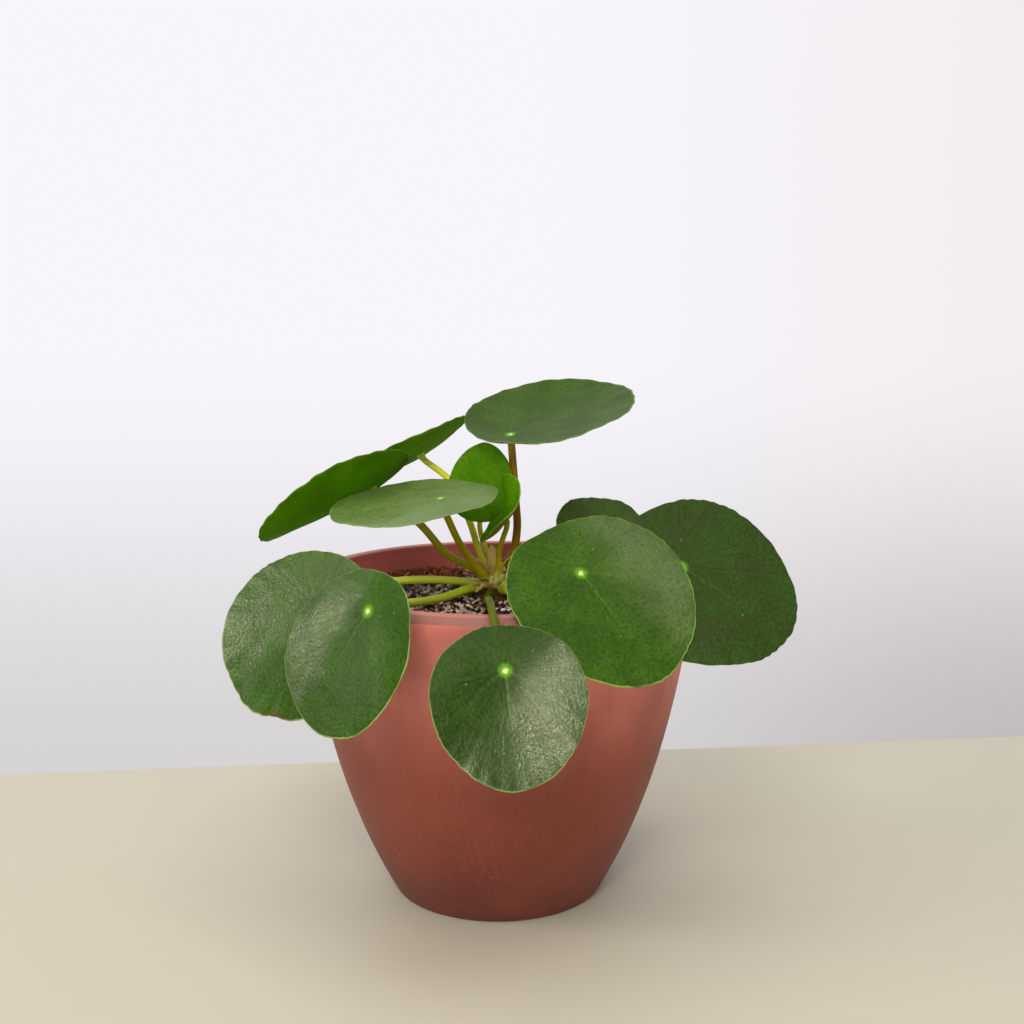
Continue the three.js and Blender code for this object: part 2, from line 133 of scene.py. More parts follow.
# Each leaf: where the petiole meets the blade, how the blade lies, its size and form, and the way of its
# petiole out of the crown. The blades lie as in the CAD model, save that young_folded is turned and curled
# a little more, and the petioles keep within about 2 mm of the model's. The last values are the leaf's
# finish: scallop is how scalloped its rim is, notch the place, depth and width of a tear in the rim, and wax
# the side that shines, which wax_share explains.
LEAVES = [
    dict(
        name="top_right", at=(4.4, 4, 163), azimuth=29, dip=-15, roll=10,
        length=62, width=60, attach=0.29, egg=-0.08, cup=3.5, fold=1.2, ruffle=0.35, phase=0.4,
        leaves=(34, 66), radius=1.4, via=[(5, 2, 120.5), (6.8, 3, 129.5), (6.2, 4, 141)],
        green="deep", stalk="brown", scallop=1,
    ),
    dict(
        name="top_left", at=(-29.6, 33, 153.4), azimuth=204, dip=22, roll=22,
        length=55.5, width=53.5, attach=0.11, egg=0, cup=3.6, fold=-1.1, ruffle=0.3, phase=1.7,
        leaves=(136, 58), radius=1.2, via=[(-6.4, 5, 119.8), (-10, 10, 130.4), (-17.4, 20, 144.3)],
        green="warm", stalk="light", scallop=1,
    ),
    dict(
        name="left_high", at=(-45, 6, 144), azimuth=196, dip=27, roll=24,
        length=60, width=58, attach=0.22, egg=0, cup=3.2, fold=3, ruffle=0.3, phase=3.1,
        leaves=(168, 44), radius=1.35, via=[(-17.7, 1, 120.6), (-28.2, 2, 132)],
        green="bright", stalk="olive", scallop=1.3,
    ),
    dict(
        name="centre_left", at=(-19, -22, 144), azimuth=187, dip=7, roll=-6,
        length=57, width=55, attach=0.16, egg=0.08, cup=0, fold=0.5, ruffle=0.25, phase=5.2,
        leaves=(218, 46), radius=1.25, via=[(-12.3, -8, 124.7), (-17.2, -16, 137)],
        green="painted_sheen", stalk="olive", scallop=0.5,
    ),
    dict(
        name="young_upright", at=(-6, 4, 137.8), azimuth=71, dip=-77, roll=-5,
        length=28.5, width=25.5, attach=0.29, egg=-0.16, cup=0.8, fold=0.6, ruffle=0.1, phase=0.9,
        leaves=(80, 82), radius=0.95, via=[(-4.2, 5, 121.5), (-6.6, 7.6, 130)],
        green="young", stalk="light", scallop=0,
    ),
    dict(
        name="young_folded", at=(2.5, -8, 134.6), azimuth=55, dip=-56.6, roll=-34.6,
        length=26.5, width=20.8, attach=0.09, egg=0.2, cup=5.3, fold=-2.9, ruffle=0.1, phase=2.6,
        leaves=(290, 64), radius=0.95, via=[(0.5, -4.5, 123), (2.1, -6, 128.6)],
        green="folded", stalk="olive", scallop=0, wedge=0.38, tip_turn=0.2,
    ),
    dict(
        name="left_low_back", at=(-56, -53.5, 113), azimuth=178, dip=40, roll=-54,
        length=57.5, width=55.5, attach=0.18, egg=0.11, cup=-2.5, fold=0.9, ruffle=0.35, phase=4.4,
        leaves=(172, 10), radius=1.35, via=[(-20.2, -8, 113.4), (-36, -29, 117.1), (-49, -41, 117.3)],
        green="sheen", stalk="pale", scallop=1, notch=(-41, 0.05, 9), wax=(100, -10, 8),
    ),
    dict(
        name="left_low_front", at=(-38.4, -74, 117.2), azimuth=180, dip=58, roll=-45,
        length=53, width=51, attach=0.27, egg=0.08, cup=-3.1, fold=2.1, ruffle=0.25, phase=2.2,
        leaves=(205, 4), radius=1.45, via=[(-19.6, -20, 109.4), (-28.8, -45, 113.3), (-33, -58, 116.2)],
        green="sheen", stalk="lime", scallop=0.6, wax=(90, 0, 14),
    ),
    dict(
        name="front", at=(3, -87, 102.2), azimuth=283, dip=60, roll=7,
        length=50, width=46.5, attach=0.21, egg=-0.1, cup=-1.6, fold=3.6, ruffle=0.35, phase=5.8,
        leaves=(252, -14), radius=1.3, via=[(-3, -28, 110), (-2.2, -56, 116.4), (-1, -72, 116.6)],
        green="glossy", stalk="shaded", scallop=1, wax=(-52, -2, 17),
    ),
    dict(
        name="right_front", at=(26.6, -55, 125), azimuth=321, dip=41, roll=24,
        length=62.5, width=60.5, attach=0.18, egg=-0.07, cup=-2.5, fold=6, ruffle=0.3, phase=1.2,
        leaves=(306, 2), radius=1.45, via=[(9, -16, 111.5), (17, -35, 116)],
        green="middle", stalk="lime", scallop=1, wax=(-90, 2, 26),
    ),
    dict(
        name="right_back", at=(59.3, -47, 125.4), azimuth=343, dip=29, roll=43,
        length=62, width=60, attach=0.15, egg=-0.14, cup=-1.1, fold=0.4, ruffle=0.35, phase=3.7,
        leaves=(341, 8), radius=1.4, via=[(19, -11, 113), (40, -28, 118.5)],
        green="dark", stalk="olive", scallop=1.2,
    ),
    dict(
        name="right_far", at=(35.7, 30, 124), azimuth=18, dip=5, roll=36,
        length=39, width=38, attach=0.13, egg=0, cup=0, fold=0.4, ruffle=0.8, phase=0.2,
        leaves=(38, 12), radius=1.2, via=[(12, 11, 112.5), (25, 23, 115.5)],
        green="far", stalk="olive", scallop=1,
    ),
]

# Stipules as in the CAD model: azimuth, elevation, length and width
STIPULES_MM = [(326, 38, 5, 3.8), (345, 72, 8, 2.6), (196, 72, 6, 2.6), (240, 18, 5, 3.6)]

# Fleshy young scales among the petioles: azimuth, elevation, length, width
BUD_SCALES_MM = [
    (334, 48, 3.2, 4.6), (228, 38, 3, 4.4), (60, 30, 4, 4.4), (110, 24, 4, 4.4), (150, 20, 3.6, 4),
]

# Dry papery scales among them, laid out the same way
DRY_SCALES_MM = [
    (258, 80, 12, 7), (200, 64, 9.5, 4.2), (214, 18, 6, 5),
    (228, 8, 4.4, 5), (330, 32, 4.6, 4.4), (250, 64, 6, 4),
]

# Plump buds on the crown, laid out the same way
BUDS_MM = [(282, 44, 9, 6.4), (306, 18, 6, 5.6), (256, 62, 6, 4.6)]

# Tint of a blade's shine, and how much of the shine is left where it isn't waxy
WARM_SHEEN = (1, 1, 0.72, 1)
DULL_SHARE = 0.22

# Colours from here on are screen colours of 0 to 255.
# Greens of the blades: face, its darker patches, underside and rim, then how much the veins show, how much
# light comes through, the shine and the roughness
GREENS = {
    "deep": ((68, 100, 12), (52, 86, 6), (96, 130, 14), (150, 172, 84), 0.3, 0.24, 0.3, 0.42),
    # painted_sheen: a pale, greyish face that paints in the sheen this blade reflects at a grazing angle
    "painted_sheen": ((122, 152, 78), (108, 140, 66), (96, 130, 14), (150, 172, 96), 0.2, 0.15, 0.9, 0.36),
    "middle": ((70, 108, 18), (52, 90, 12), (96, 130, 14), (180, 206, 104), 0.4, 0.24, 0.9, 0.38),
    "sheen": ((54, 96, 6), (41, 79, 3), (96, 130, 14), (198, 214, 132), 0.3, 0.2, 1.0, 0.34),
    "glossy": ((40, 78, 4), (31, 64, 2), (96, 130, 14), (176, 196, 112), 0.55, 0.16, 1.0, 0.33),
    "bright": ((72, 102, 0), (54, 86, 0), (98, 124, 2), (110, 138, 30), 0.14, 0.42, 0.1, 0.8),
    "warm": ((84, 106, 4), (64, 92, 0), (124, 128, 4), (120, 138, 30), 0.14, 0.42, 0.1, 0.8),
    "dark": ((36, 74, 4), (42, 60, 8), (88, 112, 10), (64, 78, 18), 0.14, 0.2, 0.26, 0.5),
    "far": ((82, 106, 34), (70, 90, 28), (88, 112, 10), (96, 112, 44), 0.14, 0.3, 0.4, 0.5),
    "young": ((116, 172, 0), (90, 150, 0), (124, 138, 2), (130, 96, 20), 0.14, 0.45, 0.15, 0.6),
    "folded": ((134, 198, 0), (108, 174, 0), (182, 162, 52), (190, 196, 80), 0.14, 0.4, 0.15, 0.6),
}

# Petioles: at the root, along the stalk, at the blade
STALKS = {
    # pale: lighter than the stalk's own green, as painted light where the stalk lies in the shade of blades
    "pale": ((214, 216, 50), (240, 248, 84), (210, 232, 96)),
    "lime": ((122, 134, 0), (194, 210, 42), (180, 206, 60)),
    # light: lighter than the stalk's own green too, as painted light where these stalks lie in shade behind
    # others
    "light": ((206, 200, 30), (255, 252, 72), (214, 222, 80)),
    "shaded": ((58, 66, 0), (86, 98, 0), (136, 148, 6)),
    "olive": ((122, 108, 8), (188, 176, 10), (160, 176, 36)),
    "brown": ((92, 60, 0), (152, 110, 4), (156, 160, 26)),
}

# Loose matter: dark and light colour, scale of the pattern, and roughness
MATTER = {
    "soil_dark": ((9, 5, 4), (44, 30, 23), 900, 0.75),
    "bark_chips": ((44, 25, 17), (142, 94, 66), 600, 0.6),
    "perlite_cream": ((220, 200, 184), (255, 248, 238), 800, 0.55),
    "wood_sliver": ((160, 128, 108), (255, 236, 218), 700, 0.5),
    "coir_fibre": ((122, 52, 26), (212, 116, 68), 500, 0.7),
}

# Grains on the soil: piece, matter, count, range of lengths in millimetres, range of their widths as shares
# of that, seed, and how far they stand up
GRAINS = [
    ("soil_crumbs", "soil_dark", 1500, (0.8, 2.0), (0.6, 1), 11, 0),
    ("bark_bits", "bark_chips", 700, (1.6, 4.4), (0.3, 0.7), 12, 0.05),
    ("perlite_bits", "perlite_cream", 560, (0.8, 2.2), (0.4, 0.9), 13, 0.2),
    ("wood_slivers", "wood_sliver", 1500, (1.2, 3.6), (0.16, 0.42), 15, 0.16),
]
COIR_STRANDS = 300
COIR_SEED = 14
COIR_RADIUS_MM = 0.26


# Node helpers

def srgb(red, green, blue):
    """A screen colour of 0 to 255 as the linear colour that a shader takes."""
    def linear(value):
        share = value / 255
        return share / 12.92 if share <= 0.04045 else ((share + 0.055) / 1.055) ** 2.4
    return (linear(red), linear(green), linear(blue), 1)


def make_node(tree, kind, inputs=None, **settings):
    node = tree.nodes.new(kind)
    for name, value in settings.items():
        setattr(node, name, value)
    for name, value in (inputs or {}).items():
        if isinstance(value, bpy.types.NodeSocket):
            tree.links.new(value, node.inputs[name])
        else:
            node.inputs[name].default_value = value
    return node


def compute(tree, operation, first, second=0.0, third=0.0):
    inputs = {0: first, 1: second, 2: third}
    return make_node(tree, "ShaderNodeMath", inputs, operation=operation).outputs[0]


def fade(tree, value, start, end, low=0.0, high=1.0):
    """low where value is at start, high where it is at end, and smooth between."""
    inputs = {"Value": value, "From Min": start, "From Max": end, "To Min": low, "To Max": high}
    return make_node(tree, "ShaderNodeMapRange", inputs, interpolation_type="SMOOTHSTEP").outputs[0]


def blend(tree, share, first, second):
    """A mix of two colours, each a socket or a screen colour of 0 to 255."""
    first, second = (srgb(*value) if isinstance(value, tuple) else value for value in (first, second))
    node = make_node(tree, "ShaderNodeMix", {0: share, 6: first, 7: second}, data_type="RGBA")
    return node.outputs[2]


def grain(tree, place, scale, detail=2.0, roughness=0.5, distortion=0.0):
    inputs = {
        "Vector": place, "Scale": scale, "Detail": detail,
        "Roughness": roughness, "Distortion": distortion,
    }
    return make_node(tree, "ShaderNodeTexNoise", inputs).outputs["Fac"]


def specks(tree, place, scale, edge, middle, rarity):
    """1 in small round spots, 0 around them. edge and middle are where a spot ends and is full, and rarity
    is the share of the pattern's cells without one."""
    cell = make_node(tree, "ShaderNodeTexVoronoi", {"Vector": place, "Scale": scale})
    spot = fade(tree, cell.outputs["Distance"], edge, middle)
    return compute(tree, "MULTIPLY", spot, compute(tree, "GREATER_THAN", cell.outputs["Color"], rarity))


def relief(tree, height, distance, strength):
    inputs = {"Height": height, "Distance": distance, "Strength": strength}
    return make_node(tree, "ShaderNodeBump", inputs).outputs["Normal"]


def attribute(tree, name, output="Fac"):
    return make_node(tree, "ShaderNodeAttribute", attribute_name=name).outputs[output]


def object_place(tree, scale=(1, 1, 1)):
    place = make_node(tree, "ShaderNodeTexCoord").outputs["Object"]
    return make_node(tree, "ShaderNodeMapping", {"Vector": place, "Scale": scale}).outputs["Vector"]


def blank_material(name):
    material = bpy.data.materials.new(name)
    material.use_nodes = True
    material.node_tree.nodes.clear()
    return material, material.node_tree


def shade(tree, inputs, through=None, through_colour=None):
    """The surface: a principled shader, with some light let through where that is given."""
    surface = make_node(tree, "ShaderNodeBsdfPrincipled", inputs).outputs[0]
    if through is not None:
        lit = make_node(tree, "ShaderNodeBsdfTranslucent", {"Color": through_colour}).outputs[0]
        surface = make_node(tree, "ShaderNodeMixShader", {0: through, 1: surface, 2: lit}).outputs[0]
    make_node(tree, "ShaderNodeOutputMaterial", {"Surface": surface})


# Materials

def blade_material(name, face, patch, under, edge, veins, through, shine, rough):
    """A blade in its own plane: blade_place is across and along in metres from the petiole, blade_share runs
    from 0 there to 1 at the rim, blade_side is 1 on the face and -1 on the underside, blade_scar is 1 in a
    tear, and blade_wax is 1 where the face is waxy."""
    material, tree = blank_material(name)
    place = attribute(tree, "blade_place", "Vector")
    share = attribute(tree, "blade_share")
    side = fade(tree, attribute(tree, "blade_side"), -0.2, 0.2)
    reach = make_node(tree, "ShaderNodeVectorMath", {0: place}, operation="LENGTH").outputs["Value"]
    outward = make_node(tree, "ShaderNodeVectorMath", {0: place}, operation="NORMALIZE").outputs[0]
    stretched = make_node(
        tree, "ShaderNodeVectorMath", {0: outward, 1: (26, 26, 26), 2: place}, operation="MULTIPLY_ADD",
    ).outputs[0]
    parts = make_node(tree, "ShaderNodeSeparateXYZ", {0: place})
    across, along = parts.outputs[0], parts.outputs[1]

    mottle = fade(tree, grain(tree, place, 75, 4, 0.6), 0.36, 0.66)
    streaks = fade(tree, grain(tree, stretched, 1.0, 5, 0.62, 0.2), 0.46, 0.72)
    pebbles = grain(tree, place, 950, 3, 0.6, 0.5)
    wrinkles = grain(tree, place, 860, 2, 0.5, 0.4)
    vein = vein_mask(tree, across, along, reach)

    colour = blend(tree, mottle, patch, face)
    pale = blend(tree, 0.5, face, (150, 172, 110))
    colour = blend(tree, compute(tree, "MULTIPLY", streaks, 0.08), colour, pale)
    colour = blend(tree, fade(tree, pebbles, 0.35, 0.75, 0, 0.14), colour, pale)
    colour = blend(tree, compute(tree, "MULTIPLY", vein, veins), colour, pale)
    # Painted shade: the hollows of the wrinkles are painted darker green
    painted_crease_shade = fade(tree, wrinkles, 0.52, 0.36, 0, 0.6)
    colour = blend(tree, painted_crease_shade, colour, blend(tree, 0.5, patch, (16, 34, 2)))
    speck = specks(tree, place, 240, 0.1, 0.04, 0.72)
    colour = blend(tree, compute(tree, "MULTIPLY", speck, 0.5), colour, (170, 190, 110))

    under_mottle = fade(tree, grain(tree, place, 110, 3, 0.6), 0.3, 0.7, 0, 0.35)
    underside = blend(tree, under_mottle, under, patch)
    underside = blend(tree, compute(tree, "MULTIPLY", vein, 0.5), underside, (150, 168, 90))
    colour = blend(tree, side, underside, colour)

    feather = fade(tree, streaks, 0.2, 0.8, -0.0007, 0.0007)
    glow = fade(tree, compute(tree, "ADD", reach, feather), GLOW_RADIUS, 0.0004, 0, 0.8)
    colour = blend(tree, glow, colour, (116, 196, 20))
    wobble = fade(tree, grain(tree, place, 700, 2), 0.2, 0.8, -0.0003, 0.0003)
    dot = fade(tree, compute(tree, "ADD", reach, wobble), 0.00115, DOT_RADIUS)
    colour = blend(tree, dot, colour, (240, 248, 170))
    rim = fade(tree, share, 0.984, 0.996)
    rim = compute(tree, "MULTIPLY", rim, fade(tree, grain(tree, place, 90, 2), 0.35, 0.6, 0.35, 1))
    colour = blend(tree, rim, colour, edge)
    colour = blend(tree, attribute(tree, "blade_scar"), colour, (104, 62, 30))

    swells = grain(tree, place, 130, 2, 0.5)
    height = compute(tree, "MULTIPLY_ADD", pebbles, 0.7, compute(tree, "MULTIPLY", streaks, 0.12))
    height = compute(tree, "MULTIPLY_ADD", wrinkles, 0.6, height)
    height = compute(tree, "MULTIPLY_ADD", swells, 1.4, height)
    bumps = relief(tree, height, 0.0005, 0.44)
    gloss = fade(tree, grain(tree, place, 300, 3), 0.3, 0.7, rough - 0.05, rough + 0.05)
    patchy = fade(tree, grain(tree, place, 110, 3), 0.3, 0.7, -0.15, 0.15)
    waxy = compute(tree, "ADD", attribute(tree, "blade_wax"), patchy)
    wax = fade(tree, waxy, 0, 0.9, shine * DULL_SHARE, shine)
    see_through = compute(tree, "MAXIMUM", compute(tree, "MULTIPLY", rim, 0.4), through)
    lit_colour = blend(tree, mottle, (120, 190, 20), (150, 212, 30))
    shade(
        tree,
        {
            "Base Color": colour, "Roughness": gloss, "Specular IOR Level": wax,
            "Specular Tint": WARM_SHEEN, "Normal": bumps,
        },
        see_through,
        lit_colour,
    )
    return material


def vein_mask(tree, across, along, reach):
    """The midrib and a pair of side veins that bow forward out of the petiole's dot."""
    turn = compute(tree, "ABSOLUTE", compute(tree, "ARCTAN2", across, along))
    midrib = compute(tree, "MULTIPLY", turn, reach)
    bowed = compute(tree, "SUBTRACT", VEIN_TURN, compute(tree, "MULTIPLY", reach, VEIN_BOW))
    lateral = compute(tree, "ABSOLUTE", compute(tree, "SUBTRACT", turn, bowed))
    lateral = compute(tree, "MULTIPLY", lateral, reach)
    line = fade(tree, midrib, 0.0006, 0.0001)
    line = compute(tree, "MAXIMUM", line, fade(tree, lateral, 0.0008, 0.0001, 0, 0.3))
    return compute(tree, "MULTIPLY", line, fade(tree, reach, 0.026, 0.006))


def stalk_material(name, root, middle, tip):
    """A petiole: stalk_share runs from 0 at the crown to 1 at the blade."""
    material, tree = blank_material(name)
    share = attribute(tree, "stalk_share")
    lengthwise = attribute(tree, "stalk_place", "Vector")
    colour = blend(tree, fade(tree, share, 0.0, 0.16), root, middle)
    colour = blend(tree, fade(tree, share, 0.82, 1.0), colour, tip)
    streak = grain(tree, lengthwise, 1.0, 4, 0.6)
    light = blend(tree, 0.4, middle, (206, 206, 60))
    colour = blend(tree, fade(tree, streak, 0.45, 0.75, 0, 0.45), colour, light)
    dark = blend(tree, 0.55, middle, (50, 38, 4))
    colour = blend(tree, fade(tree, streak, 0.5, 0.25, 0, 0.5), colour, dark)
    bumps = relief(tree, streak, 0.0002, 0.5)
    shade(tree, {"Base Color": colour, "Roughness": 0.5, "Specular IOR Level": 0.2, "Normal": bumps})
    return material


def pot_material():
    """Matte clay-coloured plastic, painted darker towards the foot and lighter towards the rim as painted
    shade and light, and lighter still on the inner wall under the rim as painted light. It is dusty on the
    rim, with upright brush lines, pale specks and a few dark pits. Radius and level are metres from the
    middle of the foot."""
    material, tree = blank_material("pot_clay_red")
    place = object_place(tree)
    parts = make_node(tree, "ShaderNodeSeparateXYZ", {0: place})
    level = parts.outputs[2]
    flat = make_node(tree, "ShaderNodeCombineXYZ", {0: parts.outputs[0], 1: parts.outputs[1]}).outputs[0]
    radius = make_node(tree, "ShaderNodeVectorMath", {0: flat}, operation="LENGTH").outputs["Value"]
    fine = grain(tree, object_place(tree, (900, 900, 22)), 1.0, 4, 0.6)
    broad = grain(tree, object_place(tree, (60, 60, 9)), 1.0, 3)
    cloud = grain(tree, place, 38, 3, 0.55)
    # Painted shade towards the foot and painted light towards the rim: a height gradient in the clay colour
    # that stands in for how light falls down the pot
    painted_light_level = compute(tree, "ADD", level, fade(tree, broad, 0.3, 0.7, -0.004, 0.004))
    colour = blend(tree, fade(tree, painted_light_level, 0.0, 0.06), (104, 44, 32), (136, 60, 42))
    colour = blend(tree, fade(tree, painted_light_level, 0.05, 0.108), colour, (246, 141, 130))
    colour = blend(tree, fade(tree, cloud, 0.35, 0.7, 0, 0.32), colour, (146, 67, 47))
    colour = blend(tree, fade(tree, fine, 0.4, 0.75, 0, 0.13), colour, (190, 106, 88))
    speck = specks(tree, place, 170, 0.075, 0.03, 0.8)
    colour = blend(tree, compute(tree, "MULTIPLY", speck, 0.55), colour, (214, 160, 140))
    pit = specks(tree, place, 130, 0.07, 0.03, 0.84)
    colour = blend(tree, compute(tree, "MULTIPLY", pit, 0.5), colour, (90, 44, 36))
    shoulder, top = POT_OUTER_MM[-1][0] * MM, POT_HEIGHT_MM * MM
    scratches = grain(tree, object_place(tree, (260, 260, 1500)), 1.0, 4, 0.6)
    powder = fade(tree, scratches, 0.35, 0.62, 0, 0.8)
    above = fade(tree, level, shoulder - 0.0003, shoulder + 0.0003)
    chamfer = compute(tree, "MULTIPLY", above, fade(tree, level, top + 0.0001, top - 0.0004))
    colour = blend(tree, compute(tree, "MULTIPLY", chamfer, 0.85), colour, (150, 84, 72))
    colour = blend(tree, compute(tree, "MULTIPLY", chamfer, powder), colour, (152, 104, 94))
    dusty = fade(tree, level, top - 0.0004, top - 0.0001, 0, 0.8)
    colour = blend(tree, dusty, colour, (196, 138, 124))
    # Painted light: the inner wall just under the rim is painted lighter, standing in for light that reaches
    # into the pot
    within = compute(tree, "MULTIPLY", fade(tree, radius, 0.0655, 0.0645), fade(tree, level, 0.095, 0.1))
    colour = blend(tree, compute(tree, "MULTIPLY", within, 0.8), colour, (224, 114, 112))
    height = compute(tree, "MULTIPLY_ADD", pit, -1.2, fine)
    bumps = relief(tree, compute(tree, "ADD", height, cloud), 0.00012, 0.35)
    gloss = fade(tree, fine, 0.3, 0.7, 0.5, 0.6)
    shade(tree, {"Base Color": colour, "Roughness": gloss, "Specular IOR Level": 0.5, "Normal": bumps})
    return material


def grit_material(name, dark, light, scale, rough):
    """Loose matter such as soil, bark or perlite: two colours in fine grains."""
    material, tree = blank_material(name)
    place = object_place(tree)
    speckle = grain(tree, place, scale, 4, 0.7)
    colour = blend(tree, fade(tree, speckle, 0.35, 0.7), dark, light)
    bumps = relief(tree, grain(tree, place, scale * 2.2, 3, 0.7), 0.0004, 0.8)
    shade(tree, {"Base Color": colour, "Roughness": rough, "Specular IOR Level": 0.4, "Normal": bumps})
    return material


def bark_material():
    """The stem's bark: dark, flaking and ringed by leaf scars, and still green at the top of the crown."""
    material, tree = blank_material("crown_bark")
    rings = grain(tree, object_place(tree, (260, 260, 1500)), 1.0, 3, 0.6)
    flakes = grain(tree, object_place(tree), 520, 4, 0.7)
    colour = blend(tree, fade(tree, flakes, 0.35, 0.65), (38, 18, 9), (112, 60, 26))
    high = make_node(tree, "ShaderNodeSeparateXYZ", {0: object_place(tree)}).outputs[2]
    young = fade(tree, high, 0.1085, 0.1115)
    green = blend(tree, fade(tree, flakes, 0.35, 0.65), (112, 90, 14), (180, 168, 48))
    colour = blend(tree, young, colour, green)
    colour = blend(tree, fade(tree, rings, 0.45, 0.65, 0, 0.4), colour, (52, 40, 22))
    bumps = relief(tree, compute(tree, "ADD", rings, flakes), 0.0012, 1.0)
    shade(tree, {"Base Color": colour, "Roughness": 0.7, "Specular IOR Level": 0.35, "Normal": bumps})
    return material


def scale_material(name, dark, light, through, through_colour):
    """Scales of the crown: veined lengthwise, paler in their dry patches, and letting light through."""
    material, tree = blank_material(name)
    fibres = grain(tree, object_place(tree, (900, 900, 160)), 1.0, 3, 0.6)
    patches = grain(tree, object_place(tree), 420, 2)
    colour = blend(tree, fade(tree, fibres, 0.35, 0.7), dark, light)
    colour = blend(tree, fade(tree, patches, 0.5, 0.7, 0, 0.6), colour, (232, 226, 190))
    bumps = relief(tree, fibres, 0.0002, 0.6)
    shade(
        tree,
        {"Base Color": colour, "Roughness": 0.45, "Specular IOR Level": 0.5, "Normal": bumps},
        through,
        srgb(*through_colour),
    )
    return material


def table_material():
    material, tree = blank_material("table_cream")
    cloud = grain(tree, object_place(tree), 7, 3)
    tooth = grain(tree, object_place(tree), 1400, 2)
    colour = blend(tree, cloud, (202, 196, 178), (207, 202, 185))
    shade(tree, {"Base Color": colour, "Roughness": 0.6, "Normal": relief(tree, tooth, 0.0001, 0.15)})
    return material


def backdrop_material():
    """A pale wall that glows evenly, with painted light brightest at the upper left and painted shade low
    and to the right.
    """
    material, tree = blank_material("backdrop_pale")
    place = make_node(tree, "ShaderNodeTexCoord").outputs["Object"]
    parts = make_node(tree, "ShaderNodeSeparateXYZ", {0: place})
    low = fade(tree, parts.outputs[2], 0.16, -0.34)
    right = fade(tree, parts.outputs[0], 0.02, 0.62)
    colour = blend(tree, right, (247, 245, 251), (242, 237, 240))
    shadow = blend(tree, right, (214, 211, 212), (192, 188, 187))
    colour = blend(tree, low, colour, shadow)
    glow = make_node(tree, "ShaderNodeEmission", {"Color": colour, "Strength": 1.0}).outputs[0]
    make_node(tree, "ShaderNodeOutputMaterial", {"Surface": glow})
    return material


# Mesh helpers

def make_object(name, bm, material, smooth):
    bmesh.ops.recalc_face_normals(bm, faces=bm.faces[:])
    mesh = bpy.data.meshes.new(name)
    bm.to_mesh(mesh)
    bm.free()
    mesh.materials.append(material)
    for polygon in mesh.polygons:
        polygon.use_smooth = smooth
    piece = bpy.data.objects.new(name, mesh)
    bpy.context.scene.collection.objects.link(piece)
    return piece


def finish_mesh(name, bm, material, node=None, smooth=True):
    """Makes the piece that the mesh holds. It rides on the root body, and stands for a CAD node if one is
    named."""
    piece = make_object(name, bm, material, smooth)
    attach(piece, "root")
    if node:
        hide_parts(node)


def spin_profile(points, steps):
    """A closed solid of revolution about Z from points of (radius, height)."""
    bm = bmesh.new()
    verts = [bm.verts.new((radius, 0, height)) for radius, height in points]
    edges = [bm.edges.new(pair) for pair in zip(verts, verts[1:])]
    bmesh.ops.spin(
        bm, geom=verts + edges, cent=(0, 0, 0), axis=(0, 0, 1), angle=2 * math.pi,
        steps=steps, use_merge=True,
    )
    bmesh.ops.remove_doubles(bm, verts=bm.verts[:], dist=1e-7)
    return bm


def smooth_step(value):
    share = min(max(value, 0), 1)
    return share * share * (3 - 2 * share)


# Pot and soil

def pot_outer_radius(height_mm):
    """Outer radius at a height, on a smooth curve through the pot's stations."""
    stations = POT_OUTER_MM
    index = max(i for i, (z, _) in enumerate(stations[:-1]) if z <= height_mm)
    (z0, r0), (z1, r1) = stations[index], stations[index + 1]
    before = stations[max(index - 1, 0)]
    after = stations[min(index + 2, len(stations) - 1)]
    slope0 = (r1 - before[1]) / (z1 - before[0])
    slope1 = (after[1] - r0) / (after[0] - z0)
    t = (height_mm - z0) / (z1 - z0)
    span = z1 - z0
    return (
        (2 * t ** 3 - 3 * t ** 2 + 1) * r0 + (t ** 3 - 2 * t ** 2 + t) * span * slope0
        + (-2 * t ** 3 + 3 * t ** 2) * r1 + (t ** 3 - t ** 2) * span * slope1
    )


def make_pot():
    heights = [1 + POT_STEP_MM * step for step in range(50)]
    outside = [(pot_outer_radius(z) * MM, z * MM) for z in heights]
    shoulder = [(POT_OUTER_MM[-1][1] * MM, POT_OUTER_MM[-1][0] * MM)]
    rim = [(RIM_OUTER_MM * MM, POT_HEIGHT_MM * MM), (RIM_INNER_MM * MM, POT_HEIGHT_MM * MM)]
    inside = [
        ((pot_outer_radius(z) - POT_WALL_MM) * MM, z * MM)
        for z in reversed(heights) if z > POT_FLOOR_MM
    ]
    foot = [(0, 0), (FOOT_INSIDE_MM * MM, 0), (POT_OUTER_MM[0][1] * MM, 0)]
    floor_radius = pot_outer_radius(POT_FLOOR_MM) - POT_WALL_MM
    floor = [(floor_radius * MM, POT_FLOOR_MM * MM), (0, POT_FLOOR_MM * MM)]
    bm = spin_profile(foot + outside + shoulder + rim + inside + floor, POT_STEPS)
    sharp = [edge for edge in bm.edges if edge.calc_face_angle(0) > math.radians(20)]
    bmesh.ops.bevel(
        bm, geom=sharp, offset=RIM_ROUNDING, offset_type="OFFSET", affect="EDGES",
        segments=3, profile=0.5, material=-1,
    )
    finish_mesh("pot_shell", bm, pot_material(), "pot")


